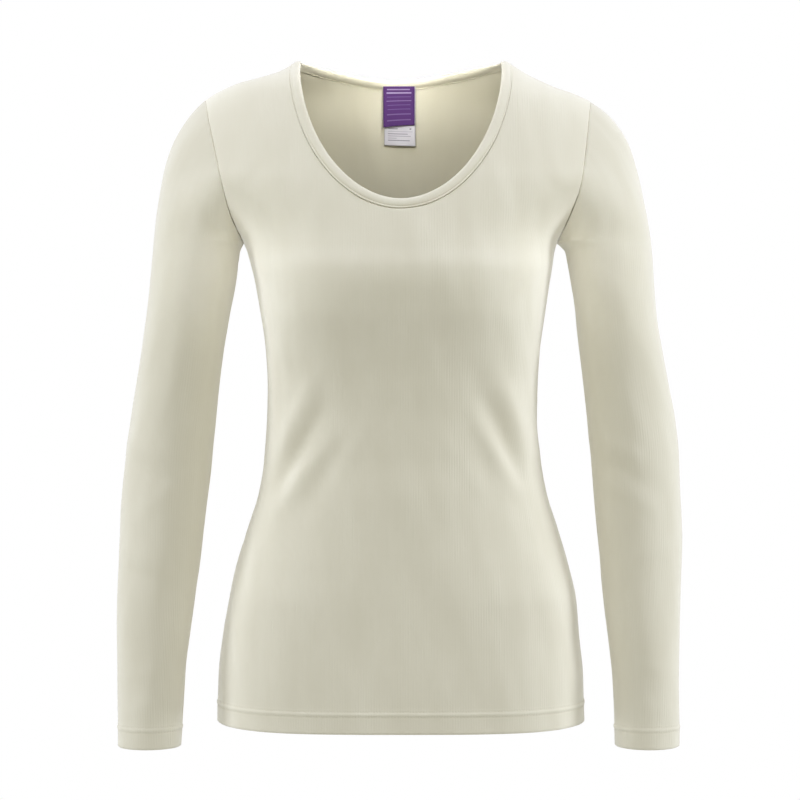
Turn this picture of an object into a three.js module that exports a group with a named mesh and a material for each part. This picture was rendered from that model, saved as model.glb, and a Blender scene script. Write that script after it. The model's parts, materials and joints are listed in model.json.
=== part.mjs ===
// A long-sleeved thermal base layer top in fine rib knit, women's size S, filled out as it is worn
// with no wearer inside. Millimetres, +Z up. The front faces -Y, so the wearer's left sleeve is at +X.
// The origin lies between the shoulders, which carry the garment.
//
// Every outer surface is one form: at a place (x, z) of the front view, the cloth stands
// sqrt(reach) in front of or behind the side line, and reach falls to nothing at the outline.
// The panels are patches of that form that meet along the sewn seams.
import * as THREE from "three";

// Cloth and sewing
const CLOTH = 1.2; // wall of one layer of knit
const TURNED_HEM = 2 * CLOTH; // wall where the hem is turned up and stitched
const HEM_DEPTH = 20;
const SEAM_GAP = 0.3;
const HALF_GAP = SEAM_GAP / 2;
const BAND_WIDTH = 10; // folded neckband, from its fold to its seam
const LABEL = { wide: 31, centreX: -2, thick: 1, longCare: 59, longWoven: 40, belowNeckEdge: 4 };

// Heights of the landmarks
const NECK_POINT_Z = 30; // where the neck edge crosses the shoulder
const FRONT_NECK_Z = -109;
const BACK_NECK_Z = 19.4;
const BACK_NECK_SHIFT = -6; // the back neck is lowest a little to the wearer's right
const ARMPIT_Z = -144;
const HEM_Z = -600.5;
const CUFF_Z = -620.5;
const NECK_HALF_WIDTH = 96;
const CAP_END_Z = -172; // below this the sleeve's rings are level
const ARMHOLE_SOFTENS_OVER = 62; // height over which the crease above the armpit fades out

// Grid steps. Neighbouring pieces share their steps along a seam.
const ARMHOLE_STEPS = 11;
const SHOULDER_STEPS = 5;
const FRONT_NECK_STEPS = 22;
const BACK_NECK_STEPS = 14;
const CAP_RINGS = 8;
const ARM_RINGS = 20;
const LABEL_ROWS = 10;
const LABEL_COLS = 3;
const BOW_FADE = 5; // how fast the bow of the armhole seams dies out across a panel
const SIDE_FADE = 3; // how fast their row spacing gives way to an even one
const FAN = 100; // how far the columns fan out below the steep sides of the neck
const FAN_WIDTH = 18;

// Half-widths of the body: at the side seams up to the armpit, and at the armhole seams above it.
// front and back are how far the cloth stands from the side line at the centre, and full says
// how much squarer than an ellipse the front is there.
const BODY = [
  { z: HEM_Z, right: 175.5, left: 175.5, front: 110, back: 114, full: 0.35 },
  { z: -556, right: 174.5, left: 174.5, front: 109, back: 114, full: 0.35 },
  { z: -521, right: 171, left: 171, front: 107, back: 111, full: 0.35 },
  { z: -486, right: 165, left: 168, front: 105, back: 104, full: 0.35 },
  { z: -452, right: 157.4, left: 160.3, front: 102, back: 95, full: 0.32 },
  { z: -417, right: 147, left: 149.8, front: 98, back: 84, full: 0.28 },
  { z: -383, right: 136.3, left: 139.2, front: 94, back: 75, full: 0.24 },
  { z: -348, right: 130.6, left: 133.4, front: 91, back: 70, full: 0.22 },
  { z: -314, right: 128.6, left: 130.6, front: 91, back: 70, full: 0.24 },
  { z: -279, right: 127.7, left: 130.6, front: 95, back: 75, full: 0.34 },
  { z: -245, right: 129.6, left: 133.4, front: 103, back: 82, full: 0.5 },
  { z: -210, right: 134.4, left: 138.2, front: 112, back: 88, full: 0.64 },
  { z: -175, right: 141, left: 143.5, front: 113, back: 93, full: 0.6 },
  { z: -152, right: 147.4, left: 147, front: 109, back: 95, full: 0.5 },
  { z: ARMPIT_Z, right: 151, left: 149.5, front: 107, back: 95.5, full: 0.46 },
  { z: -121, right: 160, left: 159, front: 100, back: 95, full: 0.36 },
  { z: -98, right: 166, left: 167, front: 92, back: 92, full: 0.25 },
  { z: -59, right: 175, left: 174, front: 78, back: 84, full: 0.12 },
  { z: -21, right: 184, left: 179, front: 64, back: 71, full: 0.05 },
  { z: 8, right: 190, left: 184, front: 53, back: 60, full: 0 },
  { z: 30, right: 194, left: 188, front: 42, back: 48, full: 0 },
  { z: 42, right: 196, left: 190, front: 36, back: 42, full: 0 },
];

// The outermost line of the whole garment: shoulder, sleeve cap and the outside of the sleeve.
const OUTLINE = [
  { z: 42, right: 40, left: 40 },
  { z: NECK_POINT_Z, right: NECK_HALF_WIDTH, left: NECK_HALF_WIDTH },
  { z: 27.5, right: 103, left: 105 },
  { z: 20.4, right: 117, left: 117 },
  { z: 12.7, right: 142, left: 131 },
  { z: 5, right: 166, left: 149 },
  { z: -2.6, right: 181, left: 169 },
  { z: -10.3, right: 191, left: 184.5 },
  { z: -25.7, right: 205, left: 203 },
  { z: -48.7, right: 218.9, left: 217.9 },
  { z: -71.8, right: 226.6, left: 225.6 },
  { z: -94.8, right: 230.8, left: 231.4 },
  { z: -141, right: 237, left: 239 },
  { z: -210, right: 244, left: 245.3 },
  { z: -279, right: 254.4, left: 257.5 },
  { z: -314, right: 260.2, left: 263.5 },
  { z: -348, right: 264.6, left: 267 },
  { z: -417, right: 268.8, left: 268.5 },
  { z: -486, right: 270, left: 266 },
  { z: -556, right: 268.2, left: 263 },
  { z: CUFF_Z, right: 267, left: 262 },
];

// The inner line of each sleeve, how far its cloth stands from the sleeve's own side line, and
// centre, the y of that side line: the elbow lies a little back and the wrist forward.
const SLEEVE = [
  { z: ARMPIT_Z, right: 151, left: 149.5, front: 52, back: 52, centre: 0 },
  { z: -152, right: 154.6, left: 157.5, front: 51.5, back: 52, centre: 0 },
  { z: -175, right: 157.4, left: 162.2, front: 50.5, back: 51, centre: 1 },
  { z: -221, right: 166.5, left: 168.6, front: 48, back: 49, centre: 4 },
  { z: -279, right: 174.7, left: 175.7, front: 46, back: 47, centre: 7 },
  { z: -348, right: 181.4, left: 182.4, front: 44, back: 44, centre: 4 },
  { z: -417, right: 188.5, left: 187.5, front: 41, back: 41, centre: -6 },
  { z: -486, right: 196.5, left: 193, front: 37, back: 37, centre: -18 },
  { z: -556, right: 204.5, left: 200, front: 32.5, back: 32.5, centre: -30 },
  { z: CUFF_Z, right: 207.5, left: 202.5, front: 30, back: 30, centre: -38 },
];

// Soft drag folds at the waist, as lines in the front view. height is the crest, or a trough if negative.
const FRONT_FOLDS = [
  { x0: -84, z0: -268, x1: -114, z1: -350, height: 3, width: 9 },
  { x0: -76, z0: -305, x1: -122, z1: -374, height: -3, width: 8.5 },
  { x0: -68, z0: -308, x1: -119, z1: -390, height: 3.2, width: 9 },
  { x0: -54, z0: -312, x1: -97, z1: -384, height: -1.4, width: 9 },
  { x0: 94, z0: -266, x1: 128, z1: -355, height: 2.8, width: 9 },
  { x0: 87, z0: -306, x1: 125, z1: -372, height: -2.8, width: 8.5 },
  { x0: 71, z0: -312, x1: 121, z1: -390, height: 3.2, width: 9 },
];
const BACK_FOLDS = [
  { x0: -104, z0: -300, x1: -36, z1: -330, height: 2.2, width: 9 },
  { x0: -112, z0: -330, x1: -30, z1: -352, height: -2.0, width: 9 },
  { x0: 34, z0: -322, x1: 108, z1: -296, height: 2.2, width: 9 },
  { x0: 28, z0: -350, x1: 114, z1: -326, height: -2.0, width: 9 },
  { x0: -60, z0: -374, x1: 62, z1: -370, height: 2.2, width: 10 },
];

// Levels of the body rows between the armpit and the hem, closer together where the folds are.
const WAIST_ROWS = [
  -162, -180, -198, -216, -234, -250, -264, -275, -286, -297, -308, -319, -330, -341, -352, -363, -374,
  -386, -400, -420, -445, -472, -500, -528, -555,
];

const clamp01 = (t) => Math.min(1, Math.max(0, t));
const mix = (a, b, t) => a + (b - a) * t;
const smooth = (t) => clamp01(t) ** 2 * (3 - 2 * clamp01(t));
const spread = (from, to, steps) =>
  Array.from({ length: steps + 1 }, (_, i) => mix(from, to, i / steps));

// A smooth curve of one column of a table over z, with no overshoot between its rows.
function column(table, key) {
  const rows = [...table].sort((a, b) => a.z - b.z);
  const slopes = rows.slice(1).map((row, i) => (row[key] - rows[i][key]) / (row.z - rows[i].z));
  const tangents = rows.map((_, i) => {
    if (i === 0) return slopes[0];
    if (i === rows.length - 1) return slopes[i - 1];
    const [below, above] = [slopes[i - 1], slopes[i]];
    return below * above <= 0 ? 0 : (2 * below * above) / (below + above);
  });
  return (z) => {
    let i = rows.findIndex((row) => row.z > z) - 1;
    if (i === -2) i = rows.length - 2;
    if (i < 0) i = 0;
    const span = rows[i + 1].z - rows[i].z;
    const t = Math.min(1, Math.max(0, (z - rows[i].z) / span));
    const beyond = z - rows[i].z - t * span;
    return (
      rows[i][key] * (1 + 2 * t) * (1 - t) ** 2 +
      tangents[i] * span * t * (1 - t) ** 2 +
      rows[i + 1][key] * t * t * (3 - 2 * t) +
      tangents[i + 1] * span * t * t * (t - 1) +
      beyond * tangents[t < 0.5 ? i : i + 1]
    );
  };
}

const columns = (table, keys) => Object.fromEntries(keys.map((key) => [key, column(table, key)]));
const body = columns(BODY, ["right", "left", "front", "back", "full"]);
const outline = columns(OUTLINE, ["right", "left"]);
const sleeve = columns(SLEEVE, ["right", "left", "front", "back", "centre"]);

const sideOf = (x) => (x < 0 ? "right" : "left");
const signOf = (side) => (side === "right" ? -1 : 1);
const oval = (share, depth, full) => depth ** 2 * (1 - share ** 2) * (1 + full * share ** 2);

// The squared reach of the whole upper garment, of the body and of a sleeve at (x, z).
function wholeReach(face, x, z) {
  const full = face === "front" ? body.full(z) : 0.1;
  return oval(x / outline[sideOf(x)](z), body[face](z), full);
}

function bodyReach(face, x, z) {
  const full = face === "front" ? body.full(z) : 0.3;
  const alone = oval(x / body[sideOf(x)](z), body[face](z), full);
  const joined = smooth((z - ARMPIT_Z) / ARMHOLE_SOFTENS_OVER);
  return joined > 0 ? mix(alone, wholeReach(face, x, z), joined) : alone;
}

function sleeveReach(face, x, z) {
  const side = sideOf(x);
  const inner = z > ARMPIT_Z ? body[side](z) : sleeve[side](z);
  const outer = outline[side](z);
  const share = (2 * Math.abs(x) - inner - outer) / (outer - inner);
  const alone = oval(share, sleeve[face](Math.min(z, ARMPIT_Z)), 0);
  const joined = smooth((z - ARMPIT_Z) / ARMHOLE_SOFTENS_OVER);
  return joined > 0 ? mix(alone, wholeReach(face, x, z), joined) : alone;
}

const armCentre = (z) => (z > ARMPIT_Z ? 0 : sleeve.centre(z));

const SETTLE_MOVES = 12;
const LONGEST_MOVE = 6;

// A form is a reach with its side line. It lifts (x, z) to the cloth, and gives the way out of it.
function makeForm(reach, centre) {
  const excess = (face, p) => (p.y - centre(p.z)) ** 2 - reach(face, p.x, p.z);
  const form = {
    lift(face, x, z) {
      const stand = Math.sqrt(Math.max(0, reach(face, x, z)));
      return new THREE.Vector3(x, centre(z) + (face === "front" ? -stand : stand), z);
    },
    gradient(face, p) {
      const h = 0.01;
      const slope = (axis) => {
        const ahead = p.clone();
        const behind = p.clone();
        ahead[axis] += h;
        behind[axis] -= h;
        return (excess(face, ahead) - excess(face, behind)) / (2 * h);
      };
      return new THREE.Vector3(slope("x"), slope("y"), slope("z"));
    },
    outward: (face, p) => form.gradient(face, p).normalize(),
    // Moves a point that is near the form onto it.
    settle(face, p) {
      const q = p.clone();
      for (let i = 0; i < SETTLE_MOVES; i++) {
        const g = form.gradient(face, q);
        const step = Math.min(LONGEST_MOVE, Math.max(-LONGEST_MOVE, excess(face, q) / g.length()));
        q.addScaledVector(g.normalize(), -step);
      }
      return q;
    },
  };
  return form;
}

const bodyForm = makeForm(bodyReach, () => 0);
const sleeveForm = makeForm(sleeveReach, armCentre);

// How far the folds lift the cloth at a place of the front view.
function foldLift(folds, p) {
  return folds.reduce((lift, f) => {
    const [dx, dz] = [f.x1 - f.x0, f.z1 - f.z0];
    const along = ((p.x - f.x0) * dx + (p.z - f.z0) * dz) / (dx * dx + dz * dz);
    const t = clamp01(along);
    const away = Math.hypot(p.x - f.x0 - t * dx, p.z - f.z0 - t * dz);
    const ends = 0.35 + 0.65 * Math.sin(Math.PI * t);
    return lift + f.height * ends * Math.exp(-((away / f.width) ** 2));
  }, 0);
}

// An open line of points resampled to even steps along its length.
function evenly(points, steps) {
  const lengths = [0];
  points.slice(1).forEach((p, i) => lengths.push(lengths[i] + p.distanceTo(points[i])));
  return spread(0, lengths.at(-1), steps).map((target) => {
    let i = lengths.findIndex((length) => length >= target - 1e-9);
    i = Math.max(1, i);
    const t = (target - lengths[i - 1]) / (lengths[i] - lengths[i - 1]);
    return points[i - 1].clone().lerp(points[i], t);
  });
}

// The armhole seam of one side, from the armpit up to where it crosses the shoulder line.
function shoulderPointZ(side) {
  let [low, high] = [-40, 10];
  for (let i = 0; i < 40; i++) {
    const middle = (low + high) / 2;
    if (outline[side](middle) > body[side](middle)) low = middle;
    else high = middle;
  }
  return low;
}

const SEAM_SAMPLES = 240;

function armholeSeam(face, side) {
  const top = shoulderPointZ(side);
  const line = spread(0, 1, SEAM_SAMPLES).map((t) => {
    const z = mix(ARMPIT_Z, top, 1 - (1 - t) ** 2);
    return bodyForm.lift(face, signOf(side) * body[side](z), z);
  });
  return evenly(line, ARMHOLE_STEPS);
}

// The shoulder seam of one side, from the neckband's seam out to the armhole.
function shoulderSeam(side, fromX) {
  const top = shoulderPointZ(side);
  const line = spread(NECK_POINT_Z, top, SEAM_SAMPLES)
    .map((z) => new THREE.Vector3(signOf(side) * outline[side](z), 0, z))
    .filter((p) => Math.abs(p.x) >= fromX);
  return evenly(line, SHOULDER_STEPS);
}

// The scoop is a squared ellipse, and crowding puts its points closer together near the shoulders.
const SCOOP = { crowding: 1.6, across: 1.95, root: 0.52 };

// The opening edge of the neck, from the wearer's right neck point to the left one.
function neckLine(face) {
  return spread(-1, 1, SEAM_SAMPLES).map((s) => {
    const t = Math.sin((Math.PI / 2) * (1 - Math.abs(s))) ** SCOOP.crowding;
    if (face === "front") {
      const x = NECK_HALF_WIDTH * (1 - t ** SCOOP.across) ** SCOOP.root;
      return bodyForm.lift(face, Math.sign(s) * x, mix(NECK_POINT_Z, FRONT_NECK_Z, t));
    }
    const share = Math.sin((Math.PI / 2) * s);
    const z = mix(BACK_NECK_Z, NECK_POINT_Z, smooth(Math.abs(share)));
    return bodyForm.lift(face, share * NECK_HALF_WIDTH + BACK_NECK_SHIFT * (1 - share ** 2), z);
  });
}

// Stations round the neck: point, way out of the cloth, and way across the band from its fold.
function neckStations() {
  const front = evenly(neckLine("front"), FRONT_NECK_STEPS).map((point) => ({ face: "front", point }));
  const back = evenly(neckLine("back"), BACK_NECK_STEPS)
    .reverse()
    .map((point) => ({ face: "back", point }));
  const ring = [...front.slice(0, -1), ...back.slice(0, -1)];
  return ring.map((station, i) => {
    const ahead = ring[(i + 1) % ring.length].point;
    const behind = ring[(i + ring.length - 1) % ring.length].point;
    const along = ahead.clone().sub(behind).normalize();
    const out = bodyForm.outward(station.face, station.point);
    return { ...station, across: along.cross(out).normalize() };
  });
}

const NECK = neckStations();

// A point of the neckband's own section: across from the fold, and height above the cloth.
function bandPoint(station, across, height) {
  const guess = station.point.clone().addScaledVector(station.across, across);
  const base = bodyForm.settle(station.face, guess);
  return base.addScaledVector(bodyForm.outward(station.face, base), height);
}

// A closed wall from a grid of outer points and a grid of inner points behind them.
function wallGeometry(outer, inner, round) {
  const [rows, cols] = [outer.length, outer[0].length];
  const points = [...outer.flat(), ...inner.flat()];
  const at = (layer, r, c) => layer * rows * cols + r * cols + (c % cols);
  const triangles = [];
  const quad = (a, b, c, d, split) =>
    split ? triangles.push(a, b, d, b, c, d) : triangles.push(a, b, c, a, c, d);
  const lastCol = round ? cols : cols - 1;
  for (let r = 0; r < rows - 1; r++)
    for (let c = 0; c < lastCol; c++) {
      const [p, q] = [points[at(0, r, c)], points[at(0, r + 1, c + 1)]];
      const [u, v] = [points[at(0, r, c + 1)], points[at(0, r + 1, c)]];
      const split = u.distanceTo(v) < p.distanceTo(q);
      quad(at(0, r, c), at(0, r, c + 1), at(0, r + 1, c + 1), at(0, r + 1, c), split);
      quad(at(1, r + 1, c), at(1, r + 1, c + 1), at(1, r, c + 1), at(1, r, c), split);
    }
  for (let c = 0; c < lastCol; c++) {
    quad(at(1, 0, c), at(1, 0, c + 1), at(0, 0, c + 1), at(0, 0, c), false);
    const r = rows - 1;
    quad(at(0, r, c), at(0, r, c + 1), at(1, r, c + 1), at(1, r, c), false);
  }
  if (!round)
    for (let r = 0; r < rows - 1; r++) {
      const c = cols - 1;
      quad(at(0, r, 0), at(0, r + 1, 0), at(1, r + 1, 0), at(1, r, 0), false);
      quad(at(1, r, c), at(1, r + 1, c), at(0, r + 1, c), at(0, r, c), false);
    }
  return closedGeometry(points, triangles);
}

// A geometry whose faces point out, whichever way round its grid ran.
function closedGeometry(points, triangles) {
  let volume = 0;
  for (let i = 0; i < triangles.length; i += 3) {
    const [a, b, c] = triangles.slice(i, i + 3).map((index) => points[index]);
    volume += a.dot(b.clone().cross(c));
  }
  if (volume < 0) triangles.reverse();
  const geometry = new THREE.BufferGeometry();
  geometry.setAttribute(
    "position",
    new THREE.Float32BufferAttribute(
      points.flatMap((p) => [p.x, p.y, p.z]),
      3,
    ),
  );
  geometry.setIndex(triangles);
  geometry.computeVertexNormals();
  return geometry;
}

// A wall of cloth from the points of its outer face.
function clothGeometry(grid, form, faceAt, liftAt, thickAt, round) {
  const outer = grid.map((row) =>
    row.map((p) => p.clone().addScaledVector(form.outward(faceAt(p), p), liftAt(p))),
  );
  const inner = grid.map((row, r) =>
    row.map((p) => p.clone().addScaledVector(form.outward(faceAt(p), p), liftAt(p) - thickAt(r))),
  );
  return wallGeometry(outer, inner, round);
}

// The turned hem takes the last two rows of a grid: its upper edge and its fold.
const hemRows = (hemZ) => [hemZ + HEM_DEPTH, hemZ + HEM_DEPTH - 1, hemZ];
const HEM_ROWS = 2;

// A body panel: level rows from the hem to the armpit, then a patch whose edges are
// the armhole seams, the shoulder seams and the neckband's seam.
function panelGrid(face) {
  const towards = face === "front" ? -1 : 1;
  const neckSteps = face === "front" ? FRONT_NECK_STEPS : BACK_NECK_STEPS;
  const cols = neckSteps + 2 * SHOULDER_STEPS;
  const keepGap = (p) => {
    if (p.y * towards < HALF_GAP) p.y = towards * HALF_GAP;
    return p;
  };
  const levelRow = (z) =>
    spread(-Math.PI / 2, Math.PI / 2, cols).map((angle) =>
      keepGap(bodyForm.lift(face, Math.sin(angle) * body[sideOf(angle)](z), z)),
    );

  const neckSeam = NECK.map((station) => bandPoint(station, BAND_WIDTH + SEAM_GAP, 0));
  const neck =
    face === "front"
      ? neckSeam.slice(0, FRONT_NECK_STEPS + 1)
      : [neckSeam[0], ...neckSeam.slice(FRONT_NECK_STEPS).reverse()];
  const rightShoulder = shoulderSeam("right", Math.abs(neck[0].x)).reverse();
  const leftShoulder = shoulderSeam("left", Math.abs(neck.at(-1).x));
  const top = [...rightShoulder.slice(0, -1), ...neck, ...leftShoulder.slice(1)].map((p) =>
    keepGap(p.clone()),
  );
  const beside = (side) =>
    armholeSeam(face, side).map((p) => {
      const moved = p.clone();
      moved.x -= signOf(side) * HALF_GAP;
      return keepGap(bodyForm.settle(face, moved));
    });
  const [right, left] = [beside("right"), beside("left")];
  const bottom = levelRow(ARMPIT_Z);
  [top[0], top[cols], bottom[0], bottom[cols]] = [right.at(-1), left.at(-1), right[0], left[0]];

  // At the sides a row lies as far up the patch as the armholes have climbed, so that it never
  // dips below the last one, and towards the middle the rows are evenly spaced.
  const climbed = (line, r) => (line[r].z - line[0].z) / (line.at(-1).z - line[0].z);
  const patch = right.map((_, r) => {
    const atSides = (climbed(right, r) + climbed(left, r)) / 2;
    const bowOf = (line, corner) => line[r].clone().sub(bottom[corner].clone().lerp(top[corner], atSides));
    const bows = [bowOf(right, 0), bowOf(left, cols)];
    return spread(0, 1, cols).map((s, c) => {
      if (r === 0) return bottom[c];
      if (r === ARMHOLE_STEPS) return top[c];
      if (c === 0) return right[r];
      if (c === cols) return left[r];
      const t = mix(r / ARMHOLE_STEPS, atSides, Math.abs(2 * s - 1) ** SIDE_FADE);
      const p = bottom[c].clone().lerp(top[c], t);
      [1 - s, s].forEach((share, i) => {
        p.x += bows[i].x * share;
        p.y += bows[i].y * share ** BOW_FADE;
        p.z += bows[i].z * share;
      });
      const fromCorner = (Math.abs(top[c].x) - Math.abs(neck[0].x)) / FAN_WIDTH;
      p.x += Math.sign(p.x) * FAN * t ** 3 * (1 - t) * Math.exp(-(fromCorner ** 2));
      return keepGap(bodyForm.settle(face, p));
    });
  });
  const below = [...WAIST_ROWS, ...hemRows(HEM_Z)].map(levelRow).reverse();
  return [...below, ...patch];
}

function panelGeometry(face, folds) {
  const thick = (r) => (r < HEM_ROWS ? TURNED_HEM : CLOTH);
  const lift = (p) => foldLift(folds, p);
  return clothGeometry(panelGrid(face), bodyForm, () => face, lift, thick, false);
}

// A sleeve: rings that fan out from the armhole seam about the armpit, then level rings to the cuff.
function sleeveGrid(side) {
  const sign = signOf(side);
  const top = shoulderPointZ(side);
  const seam = ["front", "back"].map((face) => armholeSeam(face, side));
  const outerLine = evenly(
    spread(0, 1, SEAM_SAMPLES).map((t) => {
      const z = mix(top, CAP_END_Z, t);
      return new THREE.Vector3(outline[side](z), 0, z);
    }),
    CAP_RINGS,
  );
  const seamShare = seam.map((line) => line.map((p) => (2 * (p.z - ARMPIT_Z)) / (top - ARMPIT_Z) - 1));
  const around = (place) => {
    const front = spread(0, ARMHOLE_STEPS, ARMHOLE_STEPS).map((i) => place("front", 0, i));
    const back = spread(0, ARMHOLE_STEPS, ARMHOLE_STEPS).map((i) => place("back", 1, i));
    return [...front, ...back.slice(1, -1).reverse()];
  };
  const evenShare = (i) => -Math.cos((Math.PI * i) / ARMHOLE_STEPS);

  const cap = outerLine.map((outer, k) => {
    const turned = k / CAP_RINGS;
    const innerZ = mix(ARMPIT_Z, CAP_END_Z, turned ** 1.2);
    const innerX = sleeve[side](innerZ);
    return around((face, f, i) => {
      if (k === 0) {
        const start = seam[f][i].clone();
        start.x += sign * HALF_GAP;
        return sleeveForm.settle(face, start);
      }
      const share = mix(seamShare[f][i], evenShare(i), smooth(turned));
      const straight = mix(sleeve[side](ARMPIT_Z), outline[side](top), (seamShare[f][i] + 1) / 2);
      const bow = seam[f][i].x * sign - straight;
      const x = mix(innerX, outer.x, (share + 1) / 2) + bow * (1 - turned) ** 2;
      const z = mix(innerZ, outer.z, (share + 1) / 2);
      return sleeveForm.lift(face, sign * x, z);
    });
  });
  const arm = [...spread(CAP_END_Z, CUFF_Z + HEM_DEPTH, ARM_RINGS).slice(1, -1), ...hemRows(CUFF_Z)]
    .map((z) =>
      around((face, f, i) =>
        sleeveForm.lift(face, sign * mix(sleeve[side](z), outline[side](z), (evenShare(i) + 1) / 2), z),
      ),
    );
  return [...cap, ...arm];
}

function sleeveGeometry(side) {
  const grid = sleeveGrid(side);
  const thick = (r) => (r >= grid.length - HEM_ROWS ? TURNED_HEM : CLOTH);
  const face = (p) => (p.y < armCentre(p.z) ? "front" : "back");
  return clothGeometry(grid, sleeveForm, face, () => 0, thick, true);
}

// The neckband: a strip folded in half, sewn on all round and standing a little proud of the cloth.
const BAND_SECTION = [
  { across: BAND_WIDTH, height: 0.3 },
  { across: BAND_WIDTH - 0.6, height: 0.7 },
  { across: BAND_WIDTH / 2, height: 0.9 },
  { across: 1.2, height: 0.6 },
  { across: 0.2, height: 0 },
  { across: 0, height: -0.6 },
  { across: 0.2, height: -1.3 },
  { across: 1.2, height: -1.9 },
  { across: BAND_WIDTH - 0.6, height: -1.9 },
  { across: BAND_WIDTH, height: -1.5 },
];

function neckbandGeometry() {
  const rings = NECK.map((station) =>
    BAND_SECTION.map(({ across, height }) => bandPoint(station, across, height)),
  );
  const points = rings.flat();
  const size = BAND_SECTION.length;
  const triangles = [];
  rings.forEach((_, s) => {
    const next = (s + 1) % rings.length;
    for (let i = 0; i < size; i++) {
      const j = (i + 1) % size;
      const [a, b, c, d] = [s * size + i, next * size + i, next * size + j, s * size + j];
      triangles.push(a, b, c, a, c, d);
    }
  });
  return closedGeometry(points, triangles);
}

// A label sewn inside the back neck: a strip that follows the back panel, set in from it.
function labelGeometry(length, setIn) {
  const topZ = BACK_NECK_Z - LABEL.belowNeckEdge;
  const line = (x) => {
    const points = spread(topZ, topZ - length, SEAM_SAMPLES).map((z) => bodyForm.lift("back", x, z));
    const total = evenly(points, SEAM_SAMPLES);
    const step = total[0].distanceTo(total[1]);
    return spread(0, length, LABEL_ROWS).map((along) => total[Math.round(along / step)]);
  };
  const lines = spread(-LABEL.wide / 2, LABEL.wide / 2, LABEL_COLS).map((x) => line(LABEL.centreX + x));
  const layer = (depth) =>
    spread(0, LABEL_ROWS, LABEL_ROWS).map((r) =>
      lines.map((points) => {
        const p = points[r];
        return p.clone().addScaledVector(bodyForm.outward("back", p), -depth);
      }),
    );
  return wallGeometry(layer(setIn), layer(setIn + LABEL.thick), false);
}

const CREAM = 0xddd8c4;
const cloth = () => new THREE.MeshStandardMaterial({ color: CREAM, roughness: 0.92, metalness: 0 });
const satin = (color) => new THREE.MeshStandardMaterial({ color, roughness: 0.55, metalness: 0 });

function piece(name, geometry, material) {
  const mesh = new THREE.Mesh(geometry, material);
  mesh.name = name;
  return mesh;
}

const bandInside = 1.9;
const careSetIn = bandInside + SEAM_GAP;
const wovenSetIn = careSetIn + LABEL.thick + SEAM_GAP;

const top = new THREE.Group();
top.name = "thermal_top";
top.add(
  piece("front", panelGeometry("front", FRONT_FOLDS), cloth()),
  piece("back", panelGeometry("back", BACK_FOLDS), cloth()),
  piece("sleeve_right", sleeveGeometry("right"), cloth()),
  piece("sleeve_left", sleeveGeometry("left"), cloth()),
  piece("neckband", neckbandGeometry(), cloth()),
  piece("label_care", labelGeometry(LABEL.longCare, careSetIn), satin(0xe4e0e6)),
  piece("label_woven", labelGeometry(LABEL.longWoven, wovenSetIn), satin(0x5d3f83)),
);

export default top;
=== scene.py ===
# A long-sleeved thermal base layer top in fine rib knit, filled out as it is worn.
# Each sheet is laid out flat as a grid and brought onto the worn form, in millimetres.
# +Z is up, the front faces -Y and the wearer's left sleeve is at +X.
import json
import math

import bmesh
import bpy
import numpy as np
from mathutils import Matrix, Vector

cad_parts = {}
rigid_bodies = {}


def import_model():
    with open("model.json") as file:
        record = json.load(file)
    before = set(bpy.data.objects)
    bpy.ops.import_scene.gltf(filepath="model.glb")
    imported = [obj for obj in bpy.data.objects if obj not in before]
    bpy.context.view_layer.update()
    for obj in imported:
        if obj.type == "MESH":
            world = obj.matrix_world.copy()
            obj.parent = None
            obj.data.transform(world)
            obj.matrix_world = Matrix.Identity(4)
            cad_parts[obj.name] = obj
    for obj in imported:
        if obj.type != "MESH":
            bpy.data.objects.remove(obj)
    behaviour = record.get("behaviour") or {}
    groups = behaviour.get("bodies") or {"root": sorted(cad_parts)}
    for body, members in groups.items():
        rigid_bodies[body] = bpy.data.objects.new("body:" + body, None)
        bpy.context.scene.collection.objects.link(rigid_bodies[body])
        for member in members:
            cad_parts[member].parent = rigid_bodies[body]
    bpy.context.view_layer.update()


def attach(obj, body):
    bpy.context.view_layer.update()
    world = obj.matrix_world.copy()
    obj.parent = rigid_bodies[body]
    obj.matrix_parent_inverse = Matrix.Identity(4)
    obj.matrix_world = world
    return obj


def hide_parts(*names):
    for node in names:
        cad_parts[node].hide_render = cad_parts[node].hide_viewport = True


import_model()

# The picture: a camera straight in front of the chest, and the light of a white tent. Two tall
# side lights and two broad ones above leave the cloth that faces the camera a little darker. A
# pale floor lies below the frame.
CAMERA_AT = (-0.00096, -2.2, -0.2945)
CAMERA_LENS = 103.125
CAMERA_SENSOR = 36
FLOOR_Z = -1.05
FLOOR_RADIUS = 1.6
FLOOR_SEGMENTS = 96
FLOOR_TINT = (0.8, 0.8, 0.79, 1)
FLOOR_ROUGHNESS = 0.9
LIGHT_AWAY = 2.4
TALL = (0.6, 2.6)
COOL = (0.91, 0.96, 1.13)
COOLER = (0.87, 0.91, 1.22)
TENT_LIGHT = 0.52
TENT_TINT = (1.05, 1.04, 0.91, 1)
PICTURE_GAMMA = 0.75

scene = bpy.context.scene
scene.view_settings.view_transform = "Standard"
scene.view_settings.gamma = PICTURE_GAMMA


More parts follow.
